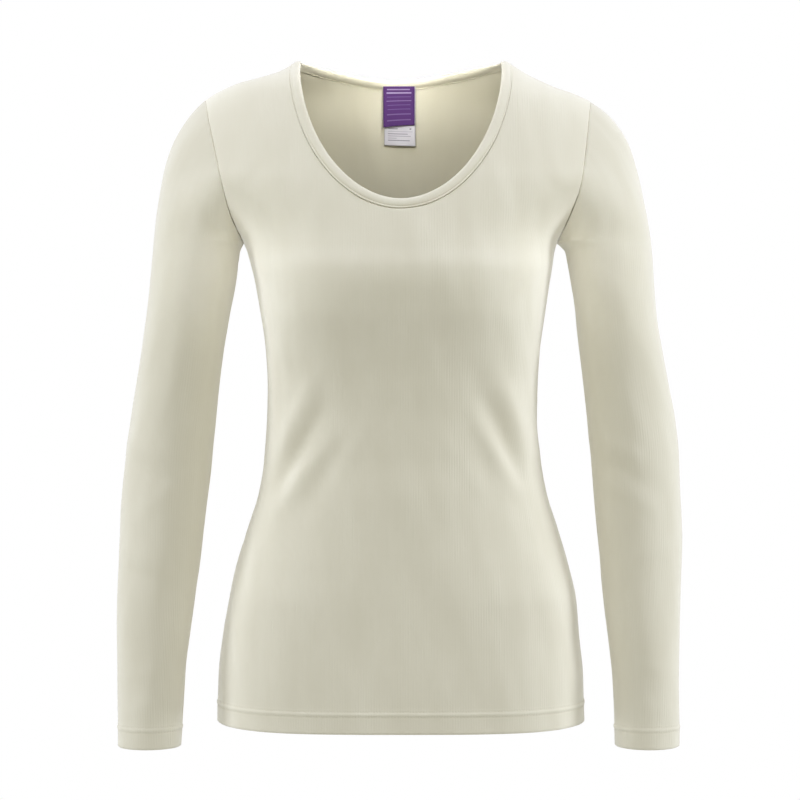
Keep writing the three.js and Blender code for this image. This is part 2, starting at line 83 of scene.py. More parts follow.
class Shade:
    """A shader socket that takes part in sums, so that each operator adds its Math node."""

    def __init__(self, socket):
        self.socket = socket

    def node(self, kind, settings, sockets, out=0):
        """Any node: its type, its settings, then the values or links of its sockets."""
        made = self.socket.id_data.nodes.new("ShaderNode" + kind)
        for name, value in settings.items():
            setattr(made, name, value)
        for name, value in sockets.items():
            if isinstance(value, Shade):
                self.socket.id_data.links.new(value.socket, made.inputs[name])
            else:
                made.inputs[name].default_value = value
        return Shade(made.outputs[out])

    def maths(self, operation, *others, clamped=False):
        settings = {"operation": operation, "use_clamp": clamped}
        return self.node("Math", settings, dict(enumerate((self, *others))))

    def output(self, name):
        """Another output of the same node."""
        return Shade(self.socket.node.outputs[name])

    def __add__(self, other):
        return self.maths("ADD", other)

    def __sub__(self, other):
        return self.maths("SUBTRACT", other)

    def __mul__(self, other):
        return self.maths("MULTIPLY", other)

    __radd__ = __add__
    __rmul__ = __mul__

    def feeds(self, socket):
        self.socket.id_data.links.new(self.socket, socket)


def put_in_scene(name, data):
    holder = bpy.data.objects.new(name, data)
    scene.collection.objects.link(holder)
    return holder


def soft_light(name, place, target, size, power, tint):
    lamp = bpy.data.lights.new(name, "AREA")
    lamp.shape = "RECTANGLE"
    lamp.size, lamp.size_y = size
    lamp.energy = power
    lamp.color = tint
    holder = put_in_scene(name, lamp)
    holder.location = place
    facing = Vector(target) - Vector(place)
    holder.rotation_euler = facing.to_track_quat("-Z", "Y").to_euler()
    holder.visible_camera = False
    return holder


camera = put_in_scene("camera", bpy.data.cameras.new("camera"))
camera.location = CAMERA_AT
camera.rotation_euler = (math.pi / 2, 0, 0)
camera.data.lens = CAMERA_LENS
camera.data.sensor_width = CAMERA_SENSOR
scene.camera = camera

middle = (0, 0, CAMERA_AT[2])


def round_place(angle):
    """A place at the chest's height, that many degrees round from the front, to +X."""
    turned = math.radians(angle)
    return (LIGHT_AWAY * math.sin(turned), -LIGHT_AWAY * math.cos(turned), middle[2])


STUDIO_LIGHTS = (
    # name, place, size, power, tint
    ("light_right", round_place(-80), TALL, 26.5, COOL),
    ("light_left", round_place(80), TALL, 31, COOL),
    ("light_top", (0, -0.2, 2.2), (2.2, 1.4), 23, COOLER),
    ("light_top_front", (0, -1.7, 1.5), (1.6, 1.0), 13.3, COOL),
)
for name, place, size, power, tint in STUDIO_LIGHTS:
    soft_light(name, place, middle, size, power, tint)

tent = bpy.data.worlds.new("tent")
tent.use_nodes = True
scene.world = tent
tent_nodes = tent.node_tree.nodes
tent_nodes["Background"].inputs["Color"].default_value = TENT_TINT
tent_nodes["Background"].inputs["Strength"].default_value = TENT_LIGHT
tent_light = Shade(tent_nodes["Background"].outputs[0])
white = tent_light.node("Background", {}, {"Color": (1, 1, 1, 1), "Strength": 1.0})
seen = tent_light.node("LightPath", {}, {})
tent_mix = tent_light.node("MixShader", {}, {0: seen, 1: tent_light, 2: white})
tent_mix.feeds(tent_nodes["World Output"].inputs["Surface"])

floor_shape = bmesh.new()
bmesh.ops.create_circle(floor_shape, cap_ends=True, segments=FLOOR_SEGMENTS, radius=FLOOR_RADIUS)
bmesh.ops.translate(floor_shape, verts=floor_shape.verts, vec=(0, 0, FLOOR_Z))
floor_mesh = bpy.data.meshes.new("floor")
floor_shape.to_mesh(floor_mesh)
floor_shape.free()
floor = put_in_scene("floor", floor_mesh)
floor_paint = bpy.data.materials.new("pale_floor")
floor_paint.use_nodes = True
floor_shader = floor_paint.node_tree.nodes["Principled BSDF"]
floor_shader.inputs["Base Color"].default_value = FLOOR_TINT
floor_shader.inputs["Roughness"].default_value = FLOOR_ROUGHNESS
floor_mesh.materials.append(floor_paint)

# The front: one panel of fine rib knit, cut with a scooped neck and shaped side seams. The
# wearer stretches it round the body, and its hem is turned up and stitched. It brings in the
# worn form that all the pieces share, and the knit that they are cut from.
MM = 0.001
ARMPIT_Z = -144
HEM_Z = -600.5
CUFF_Z = -620.5
NECK_POINT_Z = 30
FRONT_NECK_Z = -109
BACK_NECK_Z = 19.4
BACK_NECK_SHIFT = -6
NECK_HALF_WIDTH = 96
BAND_WIDTH = 10
SEAM_GAP = 0.3
HALF_GAP = SEAM_GAP / 2
ARMHOLE_SOFTENS_OVER = 62
CLOTH_THICK = 0.7

# Half-widths of the body, how far the cloth stands in front of and behind the side line at the
# centre, and how much squarer than an ellipse the front is.
BODY_COLUMNS = ("z", "right", "left", "front", "back", "full")
BODY = (
    (HEM_Z, 175.5, 175.5, 107.5, 114, 0.85),
    (-556, 174.5, 174.5, 104.5, 114, 0.85),
    (-521, 171, 171, 101.5, 111, 0.85),
    (-486, 165, 168, 99, 104, 0.85),
    (-452, 157.4, 160.3, 97, 95, 0.5),
    (-417, 147, 149.8, 95, 84, 0.18),
    (-383, 136.3, 139.2, 94, 75, 0.06),
    (-348, 130.6, 133.4, 91, 70, 0.02),
    (-314, 128.6, 130.6, 91, 70, 0.1),
    (-279, 127.7, 130.6, 95, 75, 0.34),
    (-245, 129.6, 133.4, 103, 82, 0.66),
    (-210, 134.4, 138.2, 112, 88, 0.84),
    (-175, 141, 143.5, 113, 93, 0.74),
    (-152, 147.4, 147, 109, 95, 0.5),
    (ARMPIT_Z, 151, 149.5, 107, 95.5, 0.46),
    (-121, 160, 159, 100, 95, 0.36),
    (-98, 166, 167, 92, 92, 0.25),
    (-59, 175, 174, 78, 84, 0.12),
    (-21, 184, 179, 64, 71, 0.05),
    (8, 190, 184, 53, 60, 0),
    (30, 194, 188, 42, 48, 0),
    (42, 196, 190, 36, 42, 0),
)

# The outermost line of the whole top: shoulder, sleeve cap and the outside of the sleeve.
OUTLINE_COLUMNS = ("z", "right", "left")
OUTLINE = (
    (42, 40, 40),
    (NECK_POINT_Z, NECK_HALF_WIDTH, NECK_HALF_WIDTH),
    (27.5, 103, 105),
    (20.4, 117, 117),
    (12.7, 142, 131),
    (5, 166, 149),
    (-2.6, 181, 169),
    (-10.3, 191, 184.5),
    (-25.7, 205, 203),
    (-48.7, 218.9, 217.9),
    (-71.8, 226.6, 225.6),
    (-94.8, 230.8, 231.4),
    (-141, 237, 239),
    (-210, 244, 245.3),
    (-279, 254.4, 257.5),
    (-314, 260.2, 263.5),
    (-348, 264.6, 267),
    (-417, 268.8, 268.5),
    (-486, 270, 266),
    (-556, 268.2, 263),
    (CUFF_Z, 267, 262),
)

# Drag folds and creases, as lines in the front view. height is the crest, or a trough if negative.
FOLD_COLUMNS = ("x0", "z0", "x1", "z1", "height", "width")
FRONT_FOLDS = (
    (-74, -186, 74, -186, 3.6, 22),
    (-86, -176, 86, -176, 2.6, 38),
    (-64, -252, 64, -252, -1.6, 30),
    (-79, -274, -114, -350, 4.2, 11),
    (-75, -308, -121, -382, -3.4, 8),
    (-67, -332, -113, -398, 3.4, 9),
    (-52, -338, -92, -404, -1.2, 9),
    (88, -270, 119, -342, 4.2, 11),
    (80, -297, 114, -366, -3.4, 8),
    (67, -308, 106, -380, 3.4, 9),
    (-112, -232, -124, -286, 0.7, 8),
    (108, -226, 126, -280, 0.7, 8),
    (-34, -322, -66, -372, 0.9, 9),
    (38, -326, 70, -378, 0.9, 9),
    (-140, -160, -112, -196, 0.8, 7),
    (-136, -174, -106, -214, -0.7, 7),
    (139, -162, 110, -200, 0.8, 7),
    (134, -178, 104, -220, -0.7, 7),
    (-148, -100, -126, -76, -0.6, 7),
    (148, -104, 128, -80, -0.6, 7),
)
FOLD_ENDS = 0.35
HEM_STITCH_UP = 18
HEM_TURN = 0.95
HEM_UNDER = -2 * HEM_TURN
NEEDLE_GAP = 4.6
NEEDLE_INSET = 6

# Heights above its fold of a hem's rows: inside, outside below the stitches, and at the stitches.
HEM_INSIDE = (HEM_STITCH_UP + 3, HEM_STITCH_UP, 14, 9, 4, 1.6)
HEM_OUTSIDE = (2.2, 4.5, 7, 9.5)
HEM_STITCHED = np.arange(11, HEM_STITCH_UP + 7.5, 0.8)
HEM_TURN_ROWS = 9
RIDGE_TOP = HEM_STITCH_UP + 9
RIDGE = {"height": 0.62, "width": 2.1}
NEEDLE_DIP = {"height": -0.34, "width": 0.75}
HEM_STEP = {"height": 0.3, "over": 6}

# How a seam edge rolls inwards: distance from the seam line, and depth.
ROLL = ((0, 3.0), (0, 1.5), (0.1, 0.75), (0.4, 0.32), (1.1, 0.08))
ROLL_ROOM = 2.4
ROLL_OVER = 16
SEAM_SAMPLES = 1200
KNIT_STEP = 3.3

# The share of an armhole's groove that is left at the armpit and at the shoulder.
AT_ARMPIT = {"share": 0.3, "over": 50}
AT_SHOULDER = {"share": 0.25, "from_z": -48, "over": 36}

# The faint unevenness of worn knit, as waves, and the small gathers and the pull beside a seam.
WAVE_COLUMNS = ("across", "along", "phase", "height")
WAVES = (
    (83, 140, 0.3, 0.22),
    (47, 96, 1.9, 0.14),
    (29, 210, 4.2, 0.1),
    (21, 57, 2.6, 0.05),
)
GATHERS = {"pitch": 11.5, "height": 0.13, "fade": 4.5}
SEAM_PULL = {"depth": 0.14, "fade": 3.2}
SIDE_PUCKER = 0.45
SIDE_PUCKER_OVER = 12
ROUND_BODY_TOP_Z = -40.0
ROUND_BODY_STEPS = 24


def mix(a, b, t):
    return a + (b - a) * t


def smooth(t):
    t = np.clip(t, 0, 1)
    return t * t * (3 - 2 * t)


def curve(z, value):
    """A smooth curve through one column of a table, with no overshoot between its rows."""
    slope = np.diff(value) / np.diff(z)
    product = slope[:-1] * slope[1:]
    total = np.where(product > 0, slope[:-1] + slope[1:], 1)
    inner = np.where(product > 0, 2 * product / total, 0)
    tangent = np.concatenate([slope[:1], inner, slope[-1:]])

    def at(place):
        i = np.clip(np.searchsorted(z, place, side="right") - 1, 0, len(z) - 2)
        span = z[i + 1] - z[i]
        t = np.clip((place - z[i]) / span, 0, 1)
        beyond = place - z[i] - t * span
        end = np.where(t < 0.5, tangent[i], tangent[i + 1])
        return (
            value[i] * (1 + 2 * t) * (1 - t) ** 2
            + tangent[i] * span * t * (1 - t) ** 2
            + value[i + 1] * t * t * (3 - 2 * t)
            + tangent[i + 1] * span * t * t * (t - 1)
            + beyond * end
        )

    return at


def curves(columns, rows):
    """Each column of a table but the first as a curve over z."""
    table = np.array(sorted(rows), dtype=float)
    return {name: curve(table[:, 0], table[:, i]) for i, name in enumerate(columns) if i}


body = curves(BODY_COLUMNS, BODY)
outline = curves(OUTLINE_COLUMNS, OUTLINE)


def on_side(table, x, z):
    return np.where(x < 0, table["right"](z), table["left"](z))


def on_face(table, front, z):
    return np.where(front, table["front"](z), table["back"](z))


def oval(share, depth, full):
    return depth**2 * (1 - share**2) * (1 + full * share**2)


# How much squarer than an ellipse the back is, below the armpit and above it.
BACK_FULL = 0.3
BACK_FULL_ABOVE = 0.1
SETTLE_ROUNDS = 12
SETTLE_STEP = 6


def joined_above_armpit(alone, front, x, z):
    """Above the armpit the body and the sleeve run into one form."""
    full = np.where(front, body["full"](z), BACK_FULL_ABOVE)
    whole = oval(x / on_side(outline, x, z), on_face(body, front, z), full)
    return mix(alone, whole, smooth((z - ARMPIT_Z) / ARMHOLE_SOFTENS_OVER))


def body_reach(front, x, z):
    full = np.where(front, body["full"](z), BACK_FULL)
    alone = oval(x / on_side(body, x, z), on_face(body, front, z), full)
    return joined_above_armpit(alone, front, x, z)


class Form:
    """A worn form: its cloth stands sqrt(reach) in front of or behind its side line."""

    def __init__(self, reach, centre):
        self.reach = reach
        self.centre = centre

    def lift(self, front, x, z):
        stand = np.sqrt(np.maximum(0, self.reach(front, x, z)))
        y = self.centre(z) + np.where(front, -stand, stand)
        return np.stack(np.broadcast_arrays(x, y, z), axis=-1)

    def excess(self, front, p):
        return (p[..., 1] - self.centre(p[..., 2])) ** 2 - self.reach(front, p[..., 0], p[..., 2])

    def gradient(self, front, p, step=0.01):
        slopes = []
        for axis in np.eye(3) * step:
            slopes.append(self.excess(front, p + axis) - self.excess(front, p - axis))
        return np.stack(slopes, axis=-1) / (2 * step)

    def outward(self, front, p):
        return unit(self.gradient(front, p))

    def settle(self, front, p):
        """Moves points that are near the form onto it."""
        for _ in range(SETTLE_ROUNDS):
            slope = self.gradient(front, p)
            length = np.linalg.norm(slope, axis=-1)
            step = np.clip(self.excess(front, p) / length, -SETTLE_STEP, SETTLE_STEP)
            p = p - slope * (step / length)[..., None]
        return p


def unit(vectors):
    return vectors / np.linalg.norm(vectors, axis=-1, keepdims=True)


def arc_lengths(line):
    return np.concatenate([[0], np.cumsum(np.linalg.norm(np.diff(line, axis=0), axis=-1))])


def at_arcs(line, wanted):
    arc = arc_lengths(line)
    return np.stack([np.interp(wanted, arc, line[:, axis]) for axis in range(3)], axis=-1)


def evenly(line, steps):
    return at_arcs(line, np.linspace(0, arc_lengths(line)[-1], steps + 1))


body_form = Form(body_reach, lambda z: 0 * z)


def shoulder_point_z(side):
    """Where the armhole seam meets the shoulder line."""
    low, high = -40.0, 10.0
    for _ in range(40):
        halfway = (low + high) / 2
        if outline[side](halfway) > body[side](halfway):
            low = halfway
        else:
            high = halfway
    return low


def sign_of(side):
    return -1 if side == "right" else 1


def armhole_seam(front, side, steps):
    t = np.linspace(0, 1, SEAM_SAMPLES)
    z = mix(ARMPIT_Z, shoulder_point_z(side), 1 - (1 - t) ** 2)
    return evenly(body_form.lift(front, sign_of(side) * body[side](z), z), steps)


def shoulder_seam(side, from_x, steps):
    z = np.linspace(NECK_POINT_Z, shoulder_point_z(side), SEAM_SAMPLES)
    x = outline[side](z)
    z, x = z[x >= from_x], x[x >= from_x]
    return evenly(np.stack([sign_of(side) * x, 0 * x, z], axis=-1), steps)


# The powers that give the front neck its scoop: how it drops, and how round its foot is.
SCOOP_DROP = 1.6
SCOOP_ROUND = 1.95
SCOOP_SIDES = 0.52


def neck_line(front):
    """The opening edge of the neck, from the wearer's right neck point to the left one."""
    s = np.linspace(-1, 1, SEAM_SAMPLES)
    if front:
        t = np.sin(math.pi / 2 * (1 - np.abs(s))) ** SCOOP_DROP
        x = np.sign(s) * NECK_HALF_WIDTH * (1 - t**SCOOP_ROUND) ** SCOOP_SIDES
        return body_form.lift(True, x, mix(NECK_POINT_Z, FRONT_NECK_Z, t))
    share = np.sin(math.pi / 2 * s)
    z = mix(BACK_NECK_Z, NECK_POINT_Z, smooth(np.abs(share)))
    return body_form.lift(False, share * NECK_HALF_WIDTH + BACK_NECK_SHIFT * (1 - share**2), z)


NECK_STEPS = {True: 132, False: 96}
SHOULDER_STEPS = 30
ARMHOLE_STEPS = 54


def neck_ring():
    """Points round the neck, and at each the face it is on and the way across the band."""
    front = evenly(neck_line(True), NECK_STEPS[True])
    back = evenly(neck_line(False), NECK_STEPS[False])[::-1]
    points = np.concatenate([front[:-1], back[:-1]])
    on_front = np.arange(len(points)) < NECK_STEPS[True]
    along = unit(np.roll(points, -1, axis=0) - np.roll(points, 1, axis=0))
    out = body_form.outward(on_front, points)
    return points, on_front, unit(np.cross(along, out))


RING_POINTS, RING_FRONT, RING_ACROSS = neck_ring()


def band_points(across, height):
    """A line of the neckband's section all round: across from the fold, above the cloth."""
    base = body_form.settle(RING_FRONT, RING_POINTS + RING_ACROSS * across)
    return base + body_form.outward(RING_FRONT, base) * height


def roll_edges(grid, start, end):
    """Adds to each row of a grid the closer points of a rolled seam at its start or its end."""
    away = np.array([distance for distance, _ in ROLL])
    depth = np.array([inward for _, inward in ROLL])
    rows = []
    for line in grid:
        arc = arc_lengths(line)
        over = min(ROLL_OVER, arc[-1] / 2)
        moved = arc.copy()
        parts = [moved]
        if start:
            near = arc < over
            moved[near] = ROLL_ROOM + (over - ROLL_ROOM) * arc[near] / over
            parts.insert(0, away)
        if end:
            rest = arc[-1] - arc
            near = rest < over
            moved[near] = arc[-1] - (ROLL_ROOM + (over - ROLL_ROOM) * rest[near] / over)
            parts.append(arc[-1] - away[::-1])
        rows.append(at_arcs(line, np.concatenate(parts)))
    depths = [depth if start else [], np.zeros(grid.shape[1]), depth[::-1] if end else []]
    return np.stack(rows), np.concatenate(depths)


def faded(depth, z):
    """The groove of an armhole is deepest at mid-height, and soft at the armpit and the shoulder."""
    low = mix(AT_ARMPIT["share"], 1, smooth((z - ARMPIT_Z) / AT_ARMPIT["over"]))
    above = (z - AT_SHOULDER["from_z"]) / AT_SHOULDER["over"]
    high = mix(1, AT_SHOULDER["share"], smooth(above))
    return np.where(depth < ROLL[0][1], depth * low * high, depth)


def hem_levels(fold_z):
    """Heights and offsets of the rows of a turned-up hem: up inside, round the fold, up outside."""
    inside = [(fold_z + up, HEM_UNDER) for up in HEM_INSIDE]
    turn = []
    for angle in np.linspace(math.pi, 0, HEM_TURN_ROWS):
        height = fold_z + HEM_TURN - HEM_TURN * math.sin(angle)
        turn.append((height, -HEM_TURN + HEM_TURN * math.cos(angle)))
    outside = [(fold_z + up, 0) for up in (*HEM_OUTSIDE, *HEM_STITCHED)]
    return inside + turn + outside


def stitch_ridge(up):
    """The raised line between the two needle rows of a hem, with a dip along each row."""
    away = np.abs(up - HEM_STITCH_UP)
    ridge = RIDGE["height"] * np.exp(-((away / RIDGE["width"]) ** 2))
    from_needle = (away - NEEDLE_GAP / 2) / NEEDLE_DIP["width"]
    dips = NEEDLE_DIP["height"] * np.exp(-(from_needle**2))
    step = HEM_STEP["height"] * (1 - smooth((up - HEM_STITCH_UP) / HEM_STEP["over"]))
    return np.where(up < RIDGE_TOP, ridge + dips + step, 0)


def fold_lift(folds, p):
    """How far the folds lift the cloth at each point."""
    lift = np.zeros(p.shape[:-1])
    for row in folds:
        f = dict(zip(FOLD_COLUMNS, row))
        dx, dz = f["x1"] - f["x0"], f["z1"] - f["z0"]
        x, z = p[..., 0] - f["x0"], p[..., 2] - f["z0"]
        t = np.clip((x * dx + z * dz) / (dx * dx + dz * dz), 0, 1)
        away = np.hypot(x - t * dx, z - t * dz)
        ends = mix(FOLD_ENDS, 1, np.sin(math.pi * t))
        lift += f["height"] * ends * np.exp(-((away / f["width"]) ** 2))
    return lift


def handling(u, v, shift):
    """The faint unevenness of worn knit, from a few long waves that wander a little."""
    total = 0 * u
    for row in WAVES:
        w = dict(zip(WAVE_COLUMNS, row))
        bend = 0.7 * np.sin(v / (1.7 * w["along"]) + w["phase"])
        turn = 2 * math.pi * (u / w["across"] + v / w["along"]) + w["phase"] + shift + bend
        total = total + w["height"] * np.sin(turn)
    return total


def pucker(away, along, shift):
    """Small gathers beside a seam, which fade out over a finger's width."""
    wander = 1.3 * np.sin(along / 17 + shift)
    beat = np.sin(along * 2 * math.pi / GATHERS["pitch"] + wander)
    gathered = GATHERS["height"] * beat * np.exp(-away / GATHERS["fade"])
    return gathered - SEAM_PULL["depth"] * np.exp(-away / SEAM_PULL["fade"])


def round_body(front, p):
    """How far round the body each point lies from the centre line, on the level of its cloth."""
    level = np.minimum(p[..., 2], ROUND_BODY_TOP_Z)
    shares = np.sin(np.linspace(0, math.pi / 2, ROUND_BODY_STEPS + 1))
    lines = [body_form.lift(front, p[..., 0] * share, level) for share in shares]
    total = sum(np.linalg.norm(b - a, axis=-1) for a, b in zip(lines, lines[1:]))
    return np.sign(p[..., 0]) * total


def up_columns(points):
    """How far up each column of a grid its points lie."""
    steps = np.linalg.norm(np.diff(points, axis=0), axis=-1)
    return np.concatenate([np.zeros((1, points.shape[1])), np.cumsum(steps, axis=0)])


# How a panel's rows follow the armholes at its sides, and its columns fan out beside the neck.
BOW_FADE = 5
SIDE_FADE = 3
FAN = 100
FAN_WIDTH = 18
# The share of the neck seam's depth that is left beside and behind the neck, and where the sides
# of the front neck begin.
BESIDE_NECK_DEPTH = 0.22
NECK_SIDE_Z = -66
NECK_SIDE_OVER = 34


def up_neck_side(z):
    """From 0 at the foot of the front neck to 1 along its sides and behind it."""
    return smooth((z - NECK_SIDE_Z) / NECK_SIDE_OVER)


def panel_grid(front):
    """Points of a body panel on the form, with the offset of each row and column."""
    cols = NECK_STEPS[front] + 2 * SHOULDER_STEPS
    ring = band_points(BAND_WIDTH + SEAM_GAP, 0)
    if front:
        neck = ring[: NECK_STEPS[True] + 1]
    else:
        neck = np.concatenate([ring[:1], ring[NECK_STEPS[True] :][::-1]])
    right_shoulder = shoulder_seam("right", abs(neck[0, 0]), SHOULDER_STEPS)[::-1]
    left_shoulder = shoulder_seam("left", abs(neck[-1, 0]), SHOULDER_STEPS)
    top = np.concatenate([right_shoulder[:-1], neck, left_shoulder[1:]])

    def armhole_edge(side):
        line = armhole_seam(front, side, ARMHOLE_STEPS)
        line[:, 0] -= sign_of(side) * HALF_GAP
        return keep_gap(front, body_form.settle(front, line))

    angle = np.linspace(-math.pi / 2, math.pi / 2, cols + 1)

    def level_row(z):
        x = np.sin(angle) * on_side(body, angle, z)
        return keep_gap(front, body_form.lift(front, x, z + 0 * x))

    bottom = level_row(ARMPIT_Z)
    right, left = armhole_edge("right"), armhole_edge("left")
    top[0], top[-1], bottom[0], bottom[-1] = right[-1], left[-1], right[0], left[0]
    s = np.linspace(0, 1, cols + 1)[None, :, None]
    climbed = [(line[:, 2] - line[0, 2]) / (line[-1, 2] - line[0, 2]) for line in (right, left)]
    at_sides = np.mean(climbed, axis=0)[:, None, None]
    even = np.linspace(0, 1, ARMHOLE_STEPS + 1)[:, None, None]
    t = mix(even, at_sides, np.abs(2 * s - 1) ** SIDE_FADE)
    patch = (1 - t) * bottom[None] + t * top[None]
    for line, corner, share in ((right, 0, 1 - s), (left, -1, s)):
        bow = line[:, None] - (1 - at_sides) * bottom[corner] - at_sides * top[corner]
        patch += bow * np.concatenate([share, share**BOW_FADE, share], axis=-1)
    from_neck = (np.abs(top[:, 0]) - abs(neck[0, 0])) / FAN_WIDTH
    fan = FAN * (t**3 * (1 - t))[..., 0] * np.exp(-(from_neck**2))
    patch[..., 0] += np.sign(patch[..., 0]) * fan
    patch[[0, -1]] = bottom, top
    patch[:, 0], patch[:, -1] = right, left
    patch[1:-1, 1:-1] = body_form.settle(front, patch[1:-1, 1:-1])
    patch, col_depth = roll_edges(keep_gap(front, patch), True, True)
    patch, top_depth = roll_edges(patch.transpose(1, 0, 2), False, True)
    patch = patch.transpose(1, 0, 2)

    levels = hem_levels(HEM_Z)
    first = levels[-1][0]
    steps = round((ARMPIT_Z - first) / KNIT_STEP)
    levels += [(z, 0) for z in np.linspace(first, ARMPIT_Z, steps + 1)[1:-1]]
    below, _ = roll_edges(np.stack([level_row(z) for z, _ in levels]), True, True)

    grid = np.concatenate([below, patch])
    offsets = np.concatenate([[offset for _, offset in levels], np.zeros(len(patch))])
    row_depth = np.concatenate([np.zeros(len(below)), top_depth])[:, None]
    row_depth = row_depth * mix(1, BESIDE_NECK_DEPTH, up_neck_side(grid[..., 2]))
    depth = np.maximum(faded(col_depth[None], grid[..., 2]), row_depth)
    return keep_gap(front, body_form.settle(front, grid)), offsets, depth


def keep_gap(front, p):
    """Keeps a panel on its own side of the side seams."""
    p = p.copy()
    if front:
        p[..., 1] = np.minimum(p[..., 1], -HALF_GAP)
    else:
        p[..., 1] = np.maximum(p[..., 1], HALF_GAP)
    return p


def sheet_piece(name, points, out, cut, material, thick=CLOTH_THICK, closed=False, inside=None):
    """A sheet of cloth: a flat grid whose points are brought to their places."""
    rows, cols = points.shape[:2]
    shape = bmesh.new()
    bmesh.ops.create_grid(shape, x_segments=cols - 1, y_segments=rows - 1, size=1)
    mesh = bpy.data.meshes.new(name)
    shape.to_mesh(mesh)
    shape.free()
    place = np.empty(len(mesh.vertices) * 3)
    mesh.vertices.foreach_get("co", place)
    place = place.reshape(-1, 3)[:, :2]
    share = (place - place.min(axis=0)) / np.ptp(place, axis=0)
    col = np.rint(share[:, 0] * (cols - 1)).astype(int)
    row = np.rint(share[:, 1] * (rows - 1)).astype(int)
    mesh.vertices.foreach_set("co", (points[row, col] * MM).ravel())
    corners = np.empty(len(mesh.loops), dtype=int)
    mesh.loops.foreach_get("vertex_index", corners)
    flat = mesh.uv_layers.new(name="cut")
    flat.data.foreach_set("uv", (cut[row, col] * MM)[corners].ravel())

    across = points[:-1, 1:] - points[:-1, :-1]
    along = points[1:, :-1] - points[:-1, :-1]
    faces_out = np.sum(np.cross(across, along) * out[:-1, :-1]) > 0
    shape = bmesh.new()
    shape.from_mesh(mesh)
    if closed:
        bmesh.ops.remove_doubles(shape, verts=shape.verts, dist=0.01 * MM)
    if not faces_out:
        bmesh.ops.reverse_faces(shape, faces=shape.faces)
    shape.to_mesh(mesh)
    shape.free()
    mesh.polygons.foreach_set("use_smooth", np.ones(len(mesh.polygons), dtype=bool))
    mesh.materials.append(material)
    piece = put_in_scene(name, mesh)
    wall = piece.modifiers.new("thickness", "SOLIDIFY")
    wall.thickness = thick * MM
    wall.offset = -1
    if inside:
        mesh.materials.append(inside)
        wall.material_offset = 1
    return piece


STITCH = {"pitch": 3.0, "length": 2.5, "radius": 0.26, "sunk": 0.05, "sides": 6, "rings": 4}


def stitching(name, rows, material):
    """Needle rows, each a line of points with the way out of the cloth, as one mesh of stitches."""
    shape = bmesh.new()
    for line, out in rows:
        arc = arc_lengths(line)
        wanted = np.linspace(0, arc[-1], int(arc[-1] / STITCH["pitch"]) + 1)
        ends = at_arcs(line, wanted)
        outs = np.stack([np.interp(wanted, arc, out[:, axis]) for axis in range(3)], axis=-1)
        for a, b, up in zip(ends, ends[1:], outs):
            along = Vector(b - a).normalized()
            up = Vector(up).normalized()
            aside = up.cross(along)
            half, radius = STITCH["length"] / 2 * MM, STITCH["radius"] * MM
            turn = Matrix((aside * radius, up * radius, along * half)).transposed().to_4x4()
            middle = Vector((a + b) / 2) * MM - up * STITCH["sunk"] * MM
            bmesh.ops.create_uvsphere(
                shape,
                u_segments=STITCH["sides"],
                v_segments=STITCH["rings"],
                radius=1,
                matrix=Matrix.Translation(middle) @ turn,
            )
    bmesh.ops.recalc_face_normals(shape, faces=shape.faces)
    for face in shape.faces:
        face.smooth = True
    mesh = bpy.data.meshes.new(name)
    shape.to_mesh(mesh)
    shape.free()
    mesh.materials.append(material)
    return put_in_scene(name, mesh)


CREAM = (0.74, 0.71, 0.6)
# CREAM_SHADE is the darker end of the knit's colour, for its random tone and for the painted shade in the
# valleys of its relief.
CREAM_SHADE = (0.67, 0.635, 0.52)
SPECULAR = 0.2
SHEEN_ROUGHNESS = 0.45
RIB_PITCH = 2.4 * MM
# How large the knit's marks are across and along the cloth: the patches where its ribs show, its
# grain, and the lengths of its wales, streaks and broad bands.
PATCH = (38 * MM, 85 * MM)
GRAIN = (0.5 * MM, 0.4 * MM)
WALE_LONG = 26 * MM
STREAK_LONG = 30 * MM
BAND_LONG = 200 * MM


def paint(material, colour, height, bump, roughness, sheen):
    """Joins a colour and a relief to a material's own shader, with its constant gloss."""
    shader = material.node_tree.nodes["Principled BSDF"]
    relief = height.node("Bump", {}, {"Height": height, "Distance": bump, "Strength": 1.0})
    relief.feeds(shader.inputs["Normal"])
    colour.feeds(shader.inputs["Base Color"])
    shader.inputs["Roughness"].default_value = roughness
    shader.inputs["Specular IOR Level"].default_value = SPECULAR
    shader.inputs["Sheen Weight"].default_value = sheen
    shader.inputs["Sheen Roughness"].default_value = SHEEN_ROUGHNESS


def blank(name):
    """A new material, and the place of its points on the flat cut: across it and along it."""
    material = bpy.data.materials.new(name)
    material.use_nodes = True
    start = Shade(material.node_tree.nodes["Principled BSDF"].outputs[0])
    place = start.node("UVMap", {"uv_map": "cut"}, {})
    split = start.node("SeparateXYZ", {}, {0: place})
    return material, split.output("X"), split.output("Y")


def cloth_noise(across, along, across_size, along_size, detail=2.0):
    """Noise on the cut, with its spots that large across and along the cloth."""
    scaled = {0: across * (1 / across_size), 1: along * (1 / along_size), 2: 0.0}
    place = across.node("CombineXYZ", {}, scaled)
    return place.node("TexNoise", {}, {"Vector": place, "Scale": 1.0, "Detail": detail})


def blend_colours(factor, low, high):
    ends = {0: factor, 6: (*low, 1), 7: (*high, 1)}
    return factor.node("Mix", {"data_type": "RGBA"}, ends, out=2)


